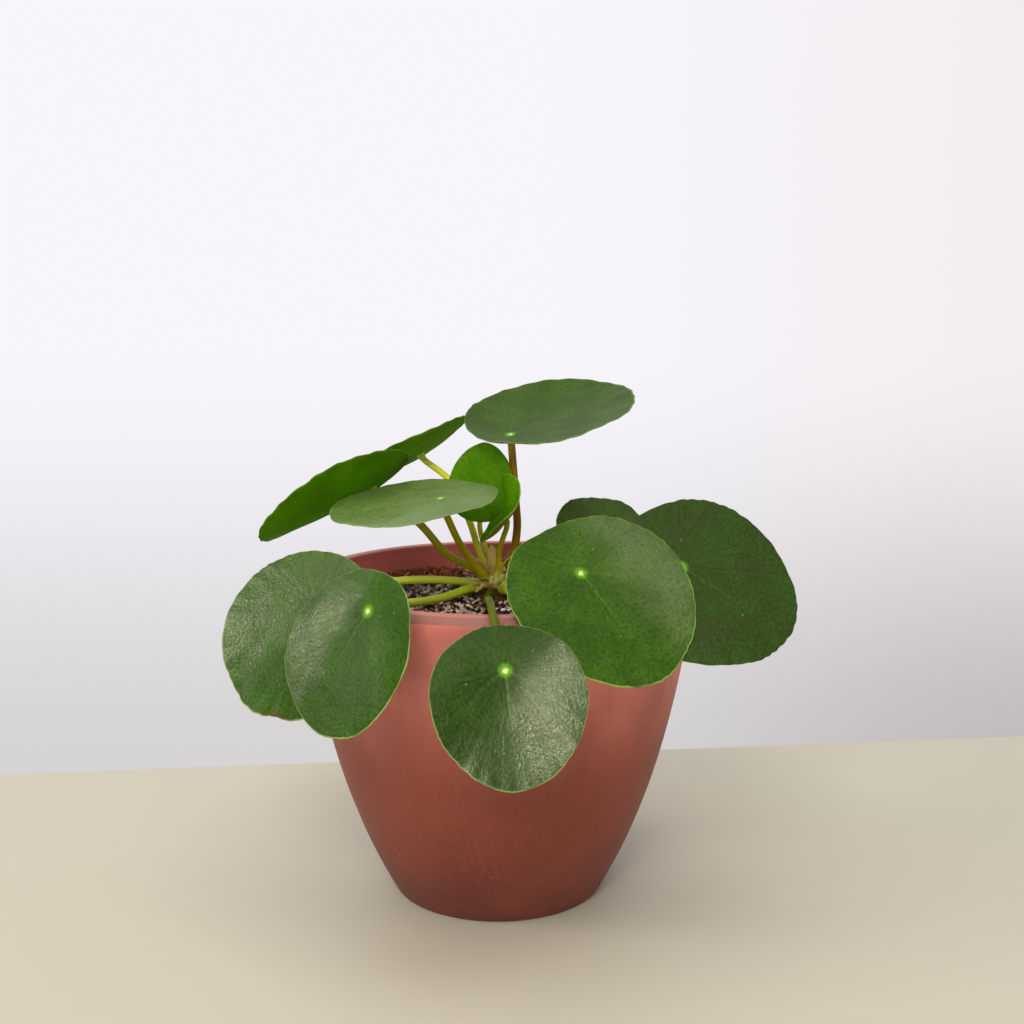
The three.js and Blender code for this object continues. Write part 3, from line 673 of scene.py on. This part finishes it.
def soil_height(x, y):
    """Height of the soil in metres: the CAD model's lumps with finer clods on them."""
    x_mm, y_mm = x / MM, y / MM
    reach = math.hypot(x_mm - STEM_X_MM, y_mm) / SOIL_RIM_MM
    lumps = math.sin(0.31 * x_mm + 0.8) * math.cos(0.27 * y_mm) + 0.6 * math.sin(0.53 * y_mm + 0.21 * x_mm)
    clods = noise.noise(Vector((x, y, 0.3)) * 260) * 0.9 + noise.noise(Vector((x, y, 0.7)) * 620) * 0.55
    mound_x, mound_y = MOUND_PLACE_MM
    wide, deep = MOUND_SPREAD_MM
    mound = MOUND_HEIGHT_MM * math.exp(-((x_mm - mound_x) / wide) ** 2 - ((y_mm - mound_y) / deep) ** 2)
    height_mm = SOIL_TOP_MM + SOIL_MOUND_MM * (1 - reach) + 0.6 * SOIL_LUMP_MM * lumps + clods + mound
    return height_mm * MM


def make_soil(earth):
    bottom = POT_FLOOR_MM + 0.3
    walls = [
        ((pot_outer_radius(z) - POT_WALL_MM - SOIL_GAP_MM) * MM, z * MM) for z in (bottom, *SOIL_WALL_MM)
    ]
    rings = range(SOIL_RINGS + 1)
    top = [(SOIL_RIM_MM * MM * (1 - ring / SOIL_RINGS), SOIL_TOP_MM * MM) for ring in rings]
    bm = spin_profile([(0, bottom * MM)] + walls + top, SOIL_STEPS)
    for vert in bm.verts:
        if vert.co.z > (SOIL_WALL_MM[-1] + 1) * MM:
            vert.co.z = soil_height(vert.co.x, vert.co.y)
    finish_mesh("soil_bed", bm, earth, "soil")


def add_grain(bm, draw, length_mm, width_share, lift_share):
    """Adds one irregular grain that lies on the soil at a random place."""
    turn = draw.uniform(0, 2 * math.pi)
    reach = SOIL_RIM_MM * 0.955 * math.sqrt(draw.random()) * MM
    x, y = reach * math.cos(turn), reach * math.sin(turn)
    length = draw.uniform(*length_mm) * MM
    stretch = Matrix.Diagonal((1, draw.uniform(*width_share), draw.uniform(0.3, 0.6), 1))
    tip = Matrix.Rotation(draw.uniform(-0.6, 0.6), 4, "X")
    lean = Matrix.Rotation(draw.uniform(-0.6, 0.6), 4, "Y")
    spin = Matrix.Rotation(draw.uniform(0, 2 * math.pi), 4, "Z")
    lift = soil_height(x, y) + length * (0.12 + lift_share)
    placed = Matrix.Translation((x, y, lift)) @ spin @ tip @ lean @ stretch
    made = bmesh.ops.create_icosphere(bm, subdivisions=1, radius=length / 2)
    for vert in made["verts"]:
        vert.co = placed @ (vert.co * (1 + draw.uniform(-0.28, 0.28)))


def scatter(name, material, count, length_mm, width_share, seed, lift_share):
    """Irregular grains lying on the soil. They are made in small batches, because bmesh operators slow down
    as a mesh grows."""
    draw = random.Random(seed)
    bm = bmesh.new()
    for start in range(0, count, GRAIN_BATCH):
        batch = bmesh.new()
        for _ in range(min(GRAIN_BATCH, count - start)):
            add_grain(batch, draw, length_mm, width_share, lift_share)
        mesh = bpy.data.meshes.new("grain_batch")
        batch.to_mesh(mesh)
        batch.free()
        bm.from_mesh(mesh)
        bpy.data.meshes.remove(mesh)
    finish_mesh(name, bm, material, smooth=False)


def make_fibres(material):
    """Thin bent strands of coir on the soil, most of them on the mound at the back."""
    draw = random.Random(COIR_SEED)
    bm = bmesh.new()
    for number in range(COIR_STRANDS):
        if number % 6:
            x = (MOUND_PLACE_MM[0] + draw.gauss(0, 8)) * MM
            y = (MOUND_PLACE_MM[1] + draw.gauss(0, 5)) * MM
            lift = (0.4, 2.2)
        else:
            turn = draw.uniform(0, 2 * math.pi)
            reach = SOIL_RIM_MM * 0.9 * math.sqrt(draw.random()) * MM
            x, y = reach * math.cos(turn), reach * math.sin(turn)
            lift = (0.2, 0.9)
        if math.hypot(x, y) > SOIL_RIM_MM * 0.93 * MM:
            continue
        heading = draw.uniform(0, 2 * math.pi)
        curl = draw.uniform(-0.5, 0.5)
        step = draw.uniform(0.9, 1.9) * MM
        centres = []
        for _ in range(5):
            centres.append(Vector((x, y, soil_height(x, y) + draw.uniform(*lift) * MM)))
            x += step * math.cos(heading)
            y += step * math.sin(heading)
            heading += curl
        sweep(bm, centres, [COIR_RADIUS_MM * MM * share for share in (0.4, 1, 1.1, 0.9, 0.3)], 5)
    finish_mesh("coir_strands", bm, material)


# Blades

def blade_frame(leaf):
    """The blade's own axes at the petiole: across, along the midrib, and out of the face."""
    turn, fall, roll = (math.radians(leaf[key]) for key in ("azimuth", "dip", "roll"))
    midrib = Vector((math.cos(turn) * math.cos(fall), math.sin(turn) * math.cos(fall), -math.sin(fall)))
    face = Vector((math.cos(turn) * math.sin(fall), math.sin(turn) * math.sin(fall), math.cos(fall)))
    side = midrib.cross(face)
    rolled = Matrix.Rotation(roll, 3, midrib)
    return rolled @ side, midrib, rolled @ face


def notch_depth(leaf, angle):
    """How deep the leaf's torn notch is at an angle, from 0 to 1."""
    if "notch" not in leaf:
        return 0
    place, _, spread = leaf["notch"]
    away = math.remainder(angle - math.radians(place), 2 * math.pi) / math.radians(spread)
    return math.exp(-away ** 2)


def outline_share(leaf, angle):
    """How far out the rim is at an angle: the CAD model's ripples, finer scallops and the torn notch."""
    phase = leaf["phase"]
    ripple = 0.008 * (0.6 * math.sin(7 * angle + phase) + 0.4 * math.sin(11 * angle + 2.3 * phase))
    patchy = 0.6 + 0.4 * math.sin(3 * angle + 2 * phase)
    wander = 1.2 * math.sin(5 * angle + phase)
    scallop = abs(math.sin(SCALLOPS * angle / 2 + wander)) - 0.6
    share = 1 + ripple + SCALLOP_SHARE * 2 * leaf["scallop"] * patchy * scallop
    if "notch" in leaf:
        share -= leaf["notch"][1] * notch_depth(leaf, angle)
    return share


def vein_depth(across, along):
    """How far the midrib and the two side veins sink into the face, from 0 to 1."""
    reach = math.hypot(across, along)
    turn = abs(math.atan2(across, along))
    midrib = turn * reach
    lateral = abs(turn - (VEIN_TURN - VEIN_BOW * reach)) * reach
    line = math.exp(-(min(midrib, lateral) / 0.0009) ** 2)
    return line * smooth_step(1.3 - reach / 0.022)


def blade_point(leaf, share, angle, side):
    """A point on the blade in its own plane, in metres: across, along and out of the face."""
    outline = outline_share(leaf, angle)
    length, width = leaf["length"], leaf["width"]
    along = share * (leaf["attach"] * length + length / 2 * math.cos(angle) * outline)
    narrow = 1 - leaf.get("wedge", 0) * smooth_step(-math.cos(angle))
    across = share * width / 2 * math.sin(angle) * (1 + leaf["egg"] * math.cos(angle)) * outline * narrow
    creased = math.hypot(across, CREASE_MM) - CREASE_MM
    lift = leaf["cup"] * share ** 2 + leaf["fold"] * creased / (width / 2 - CREASE_MM)
    lift += leaf["ruffle"] * share ** 3 * math.sin(5 * angle + leaf["phase"])
    lift += 0.14 * leaf["scallop"] * share ** 8 * math.sin(23 * angle + 3 * leaf["phase"])
    across, along, lift = across * MM, along * MM, lift * MM
    seed = Vector((across, along, leaf["phase"]))
    lift += noise.noise(seed * 95) * 0.0003 * smooth_step(share * 3)
    lift -= VEIN_SINK * vein_depth(across, along)
    half = BLADE_HALF_THICKNESS * (1 - 0.35 * share ** 4)
    return Vector((across, along, lift + side * half))


def wax_share(leaf, across_mm, along_mm):
    """How waxy the face is, from 0 to 1: some leaves shine on one side only. The values are the direction of
    that side, in degrees from the blade's tip, and where the shine starts and is full."""
    if "wax" not in leaf:
        return 1
    turn, start, full = leaf["wax"]
    reach = across_mm * math.sin(math.radians(turn)) + along_mm * math.cos(math.radians(turn))
    return smooth_step((reach - start) / (full - start))


def blade_profile():
    """Half of the blade's section: share of the way to the rim, and which side, 1 for the face."""
    shares = [ring / BLADE_RINGS for ring in range(BLADE_RINGS)]
    shares = [share ** 0.9 for share in shares] + [0.988]
    face = [(share, 1) for share in shares]
    rounding = [(0.9965, 0.75), (1, 0), (0.9965, -0.75)]
    return face + rounding + [(share, -1) for share in reversed(shares)]


def make_blade(leaf):
    bm = spin_profile(blade_profile(), BLADE_STEPS)
    place_layer = bm.verts.layers.float_vector.new("blade_place")
    share_layer = bm.verts.layers.float.new("blade_share")
    side_layer = bm.verts.layers.float.new("blade_side")
    scar_layer = bm.verts.layers.float.new("blade_scar")
    wax_layer = bm.verts.layers.float.new("blade_wax")
    across, along, out = blade_frame(leaf)
    origin = Vector(leaf["at"]) * MM
    for vert in bm.verts:
        share = math.hypot(vert.co.x, vert.co.y)
        side = vert.co.z
        angle = math.atan2(vert.co.y, vert.co.x)
        point = blade_point(leaf, share, angle, side)
        vert[place_layer] = (point.x, point.y, 0)
        vert[share_layer] = share
        vert[side_layer] = side
        vert[scar_layer] = notch_depth(leaf, angle) * smooth_step((share - 0.955) / 0.03)
        vert[wax_layer] = wax_share(leaf, point.x / MM, point.y / MM)
        vert.co = origin + across * point.x + along * point.y + out * point.z
    material = blade_material(f"blade_{leaf['green']}_{leaf['name']}", *GREENS[leaf["green"]])
    finish_mesh(f"blade_{leaf['name']}", bm, material, f"leaf_{leaf['name']}")


# Petioles

def running_lengths(centres):
    """How long a strand is up to each of its centres."""
    lengths = [0]
    for before, after in zip(centres, centres[1:]):
        lengths.append(lengths[-1] + (after - before).length)
    return lengths


def sweep(bm, centres, radii, sides, share_layer=None, place_layer=None):
    """A closed round strand along centres: a capped circle that is extruded and moved from one to the next.
    The layers take the share of the length, and a place for streaks that run along the strand."""
    tangents = [
        (centres[min(i + 1, len(centres) - 1)] - centres[max(i - 1, 0)]).normalized()
        for i in range(len(centres))
    ]
    turn = Vector((0, 0, 1)).rotation_difference(tangents[0]).to_matrix().to_4x4()
    here = Matrix.Translation(centres[0]) @ turn @ Matrix.Diagonal((radii[0], radii[0], radii[0], 1))
    ring = bmesh.ops.create_circle(bm, cap_ends=True, segments=sides, radius=1, matrix=here)["verts"]
    outward = [(vert.co - centres[0]).normalized() for vert in ring]
    edges = {edge for vert in ring for edge in vert.link_edges}
    rings = [ring]
    for index in range(1, len(centres)):
        made = bmesh.ops.extrude_edge_only(bm, edges=list(edges))["geom"]
        ring = [item for item in made if isinstance(item, bmesh.types.BMVert)]
        edges = {item for item in made if isinstance(item, bmesh.types.BMEdge)}
        bend = tangents[index - 1].rotation_difference(tangents[index]).to_matrix().to_4x4()
        grow = radii[index] / radii[index - 1]
        move = (
            Matrix.Translation(centres[index]) @ bend
            @ Matrix.Scale(grow, 4) @ Matrix.Translation(-centres[index - 1])
        )
        bmesh.ops.transform(bm, matrix=move, verts=ring)
        edges = {edge for edge in edges if edge.verts[0] in ring and edge.verts[1] in ring}
        rings.append(ring)
    bmesh.ops.contextual_create(bm, geom=list(edges))
    if share_layer is None:
        return
    lengths = running_lengths(centres)
    for ring, length in zip(rings, lengths):
        for vert, direction in zip(ring, outward):
            vert[share_layer] = length / lengths[-1]
            vert[place_layer] = direction * STREAKS_ROUND + Vector((0, 0, length * STREAKS_ALONG))


def curve_through(points, stations):
    """Points along the centripetal Catmull-Rom curve through the given ones, as in the CAD model."""
    first = points[0] * 2 - points[1]
    last = points[-1] * 2 - points[-2]
    chain = [first] + points + [last]
    result = []
    per_span = max(2, round(stations / (len(points) - 1)))
    for i in range(1, len(chain) - 2):
        p0, p1, p2, p3 = chain[i - 1:i + 3]
        d0, d1, d2 = ((b - a).length ** 0.5 for a, b in ((p0, p1), (p1, p2), (p2, p3)))
        t1 = ((p1 - p0) / d0 - (p2 - p0) / (d0 + d1) + (p2 - p1) / d1) * d1
        t2 = ((p2 - p1) / d1 - (p3 - p1) / (d1 + d2) + (p3 - p2) / d2) * d1
        for step in range(per_span):
            t = step / per_span
            result.append(
                p1 * (2 * t ** 3 - 3 * t ** 2 + 1) + t1 * (t ** 3 - 2 * t ** 2 + t)
                + p2 * (3 * t ** 2 - 2 * t ** 3) + t2 * (t ** 3 - t ** 2)
            )
    return result + [points[-1]]


def crown_direction(azimuth, elevation):
    turn, rise = math.radians(azimuth), math.radians(elevation)
    return Vector((math.cos(turn) * math.cos(rise), math.sin(turn) * math.cos(rise), math.sin(rise)))


def make_petiole(leaf):
    """A petiole from its swollen foot in the crown to just under its blade, where a ring spreads flat."""
    centre = Vector((STEM_X_MM, 0, CROWN_HEIGHT_MM))
    out = crown_direction(*leaf["leaves"])
    root = centre + out * (CROWN_RADIUS_MM - 1.2)
    leave = centre + out * (CROWN_RADIUS_MM + STRAIGHT_END_MM)
    face = blade_frame(leaf)[2]
    tip = Vector(leaf["at"]) - face * TIP_SINK_MM
    via = [Vector(point) for point in leaf["via"]]
    arrive = ((tip - via[-1]).normalized() + face * leaf.get("tip_turn", TIP_TURN)).normalized()
    points = [root, leave] + via + [tip - arrive * STRAIGHT_END_MM, tip]
    centres = curve_through([point * MM for point in points], STALK_STATIONS)
    lengths = running_lengths(centres)
    radii = []
    for length in lengths:
        swell = ROOT_SWELL_SHARE * math.exp(-(length / (ROOT_SWELL_MM * MM)) ** 2)
        cone = 0.3 * smooth_step(1 - (lengths[-1] - length) / (2.8 * MM))
        thin = 1.05 - 0.1 * length / lengths[-1]
        wave = 1 + 0.03 * noise.noise(Vector((length * 160, leaf["phase"], 0)))
        radii.append(leaf["radius"] * MM * (thin + swell + cone) * wave)
    centres.append(centres[-1] + face * (TIP_SINK_MM - 0.1) * MM)
    radii.append(leaf["radius"] * MM * 1.5)
    bm = bmesh.new()
    share_layer = bm.verts.layers.float.new("stalk_share")
    place_layer = bm.verts.layers.float_vector.new("stalk_place")
    sweep(bm, centres, radii, STALK_SIDES, share_layer, place_layer)
    material = stalk_material(f"stalk_{leaf['stalk']}_{leaf['name']}", *STALKS[leaf["stalk"]])
    finish_mesh(f"stalk_{leaf['name']}", bm, material, f"petiole_{leaf['name']}")


# Crown and stipules

def make_crown():
    """The short woody stem: a ringed knob on the rootstock that runs down into the soil."""
    profile = list(ROOTSTOCK_MM)
    for angle in range(-10, 90, 6):
        away, up = math.cos(math.radians(angle)), math.sin(math.radians(angle))
        profile.append((CROWN_RADIUS_MM * away, CROWN_HEIGHT_MM + CROWN_RADIUS_MM * up))
    profile.append((0, CROWN_HEIGHT_MM + CROWN_RADIUS_MM))
    bm = spin_profile([(r * MM, z * MM) for r, z in profile], STEM_STEPS)
    for vert in bm.verts:
        if vert.co.z > 98 * MM:
            knobs = noise.noise(vert.co * 330) * 1.2 + noise.noise(vert.co * 900) * 0.6
            scar = 0.25 * math.sin(vert.co.z / MM * 3.4)
            vert.co += Vector((vert.co.x, vert.co.y, 0)).normalized() * (knobs + scar) * 0.9 * MM
        vert.co.x += STEM_X_MM * MM
    finish_mesh("crown_stem", bm, bark_material(), "stem")


def add_scale(bm, number, azimuth, elevation, length, width, thickness):
    """Adds a pointed scale: a small grid, curled round the crown and given a thin wall."""
    centre = Vector((STEM_X_MM, 0, CROWN_HEIGHT_MM)) * MM
    up = crown_direction(azimuth, elevation)
    across = Vector((0, 0, 1)).cross(up).normalized()
    out = up.cross(across)
    made = bmesh.ops.create_grid(bm, x_segments=8, y_segments=14, size=1)["verts"]
    for vert in made:
        share = (vert.co.y + 1) / 2
        side = vert.co.x
        wide = width / 2 * MM * (1 - 0.9 * share ** 1.6) * (1 + 0.12 * math.sin(9 * share + number))
        curl = -0.3 * length * MM * share ** 2 + 0.5 * wide * side * side
        crinkle = 0.2 * MM * noise.noise(Vector((side * 2, share * 5, number)))
        vert.co = (
            centre + up * (CROWN_RADIUS_MM + 0.1 + share * length) * MM
            + across * side * wide + out * (curl + crinkle)
        )
    faces = list({face for vert in made for face in vert.link_faces})
    bmesh.ops.solidify(bm, geom=faces, thickness=thickness * MM)


def add_bud(bm, number, azimuth, elevation, length, width):
    """Adds a plump bud that sits half in the crown."""
    out = crown_direction(azimuth, elevation)
    place = Vector((STEM_X_MM, 0, CROWN_HEIGHT_MM)) * MM + out * (CROWN_RADIUS_MM - 1.2) * MM
    turn = Vector((0, 0, 1)).rotation_difference(out).to_matrix().to_4x4()
    size = Matrix.Diagonal((width * MM / 2, width * MM / 2, length * MM / 2, 1))
    made = bmesh.ops.create_icosphere(bm, subdivisions=3, radius=1)
    for vert in made["verts"]:
        lump = 1 + 0.16 * noise.noise(vert.co * 1.6 + Vector((0, 0, number)))
        vert.co = Matrix.Translation(place) @ turn @ size @ (vert.co * lump)


def make_scales():
    """The CAD model's four stipules, then the buds and fleshy scales, and the dry scales among them."""
    # The papery scales are pale cream, made paler still as painted light where they lie in the shade under
    # the blades
    paper = scale_material("stipule_paper", (236, 208, 120), (255, 248, 204), 0.6, (250, 238, 184))
    fleshy = scale_material("bud_scale_green", (150, 142, 22), (206, 200, 84), 0.14, (214, 206, 90))
    for number, stipule in enumerate(STIPULES_MM, 1):
        bm = bmesh.new()
        add_scale(bm, number, *stipule, 0.16)
        finish_mesh(f"scale_{number}", bm, paper, f"stipule_{number}")
    bm = bmesh.new()
    for number, bud in enumerate(BUD_SCALES_MM):
        add_scale(bm, number, *bud, 0.5)
    for number, bud in enumerate(BUDS_MM):
        add_bud(bm, number, *bud)
    finish_mesh("bud_scales", bm, fleshy)
    bm = bmesh.new()
    for number, scale in enumerate(DRY_SCALES_MM, 20):
        add_scale(bm, number, *scale, 0.2)
    finish_mesh("dry_scales", bm, paper)


# Stage

def make_stage():
    left, right = Vector(TABLE_LEFT_EDGE), Vector(TABLE_RIGHT_EDGE)
    along = (right - left).normalized()
    far_left, far_right = left - along * TABLE_REACH, right + along * TABLE_REACH
    bm = bmesh.new()
    near = Vector((0, TABLE_REACH * 1.5))
    corners = [far_left, far_right, far_right - near, far_left - near]
    face = bm.faces.new([bm.verts.new((corner.x, corner.y, -TABLE_THICKNESS)) for corner in corners])
    raised = bmesh.ops.extrude_face_region(bm, geom=[face])["geom"]
    top = [item for item in raised if isinstance(item, bmesh.types.BMVert)]
    bmesh.ops.translate(bm, vec=(0, 0, TABLE_THICKNESS), verts=top)
    bmesh.ops.bevel(
        bm, geom=bm.edges[:], offset=0.002, offset_type="OFFSET", affect="EDGES",
        segments=3, profile=0.5, material=-1,
    )
    make_object("table_top", bm, table_material(), False)
    bm = bmesh.new()
    low, high = [[(side * BACKDROP_HALF_WIDTH, BACKDROP_Y, z) for side in (-1, 1)] for z in BACKDROP_HEIGHTS]
    bm.faces.new([bm.verts.new(corner) for corner in low + high[::-1]])
    make_object("backdrop", bm, backdrop_material(), False)


def make_camera():
    data = bpy.data.cameras.new("camera")
    data.lens = CAMERA_LENS
    data.sensor_width = 36
    data.clip_start = 0.01
    camera = bpy.data.objects.new("camera", data)
    camera.location = CAMERA_PLACE
    camera.rotation_euler = (math.radians(90 + CAMERA_PITCH), 0, 0)
    bpy.context.scene.collection.objects.link(camera)
    bpy.context.scene.camera = camera


def make_lights():
    """Square softboxes at one distance round the plant, each at its own azimuth and elevation."""
    aim = Vector((0, 0, LIGHT_AIM_HEIGHT))
    for name, azimuth, elevation, size, power in STUDIO_LIGHTS:
        turn, rise = math.radians(azimuth), math.radians(elevation)
        away = Vector((math.sin(turn) * math.cos(rise), -math.cos(turn) * math.cos(rise), math.sin(rise)))
        data = bpy.data.lights.new(name, "AREA")
        data.shape = "SQUARE"
        data.size = size
        data.energy = power
        data.color = WARM_LIGHT
        light = bpy.data.objects.new(name, data)
        light.location = aim + away * LIGHT_DISTANCE
        light.rotation_euler = (-away).to_track_quat("-Z", "Y").to_euler()
        bpy.context.scene.collection.objects.link(light)
    world = bpy.data.worlds.new("studio")
    world.use_nodes = True
    tree = world.node_tree
    tree.nodes.clear()
    room = {"Color": WARM_LIGHT + (1,), "Strength": ROOM_LIGHT}
    dim = make_node(tree, "ShaderNodeBackground", room).outputs[0]
    make_node(tree, "ShaderNodeOutputWorld", {"Surface": dim})
    bpy.context.scene.world = world
    bpy.context.scene.view_settings.view_transform = "Standard"


make_camera()
make_lights()
make_stage()
make_pot()
matter = {name: grit_material(name, *values) for name, values in MATTER.items()}
make_soil(matter["soil_dark"])
for piece, material, *values in GRAINS:
    scatter(piece, matter[material], *values)
make_fibres(matter["coir_fibre"])
make_crown()
for leaf in LEAVES:
    make_blade(leaf)
    make_petiole(leaf)
make_scales()
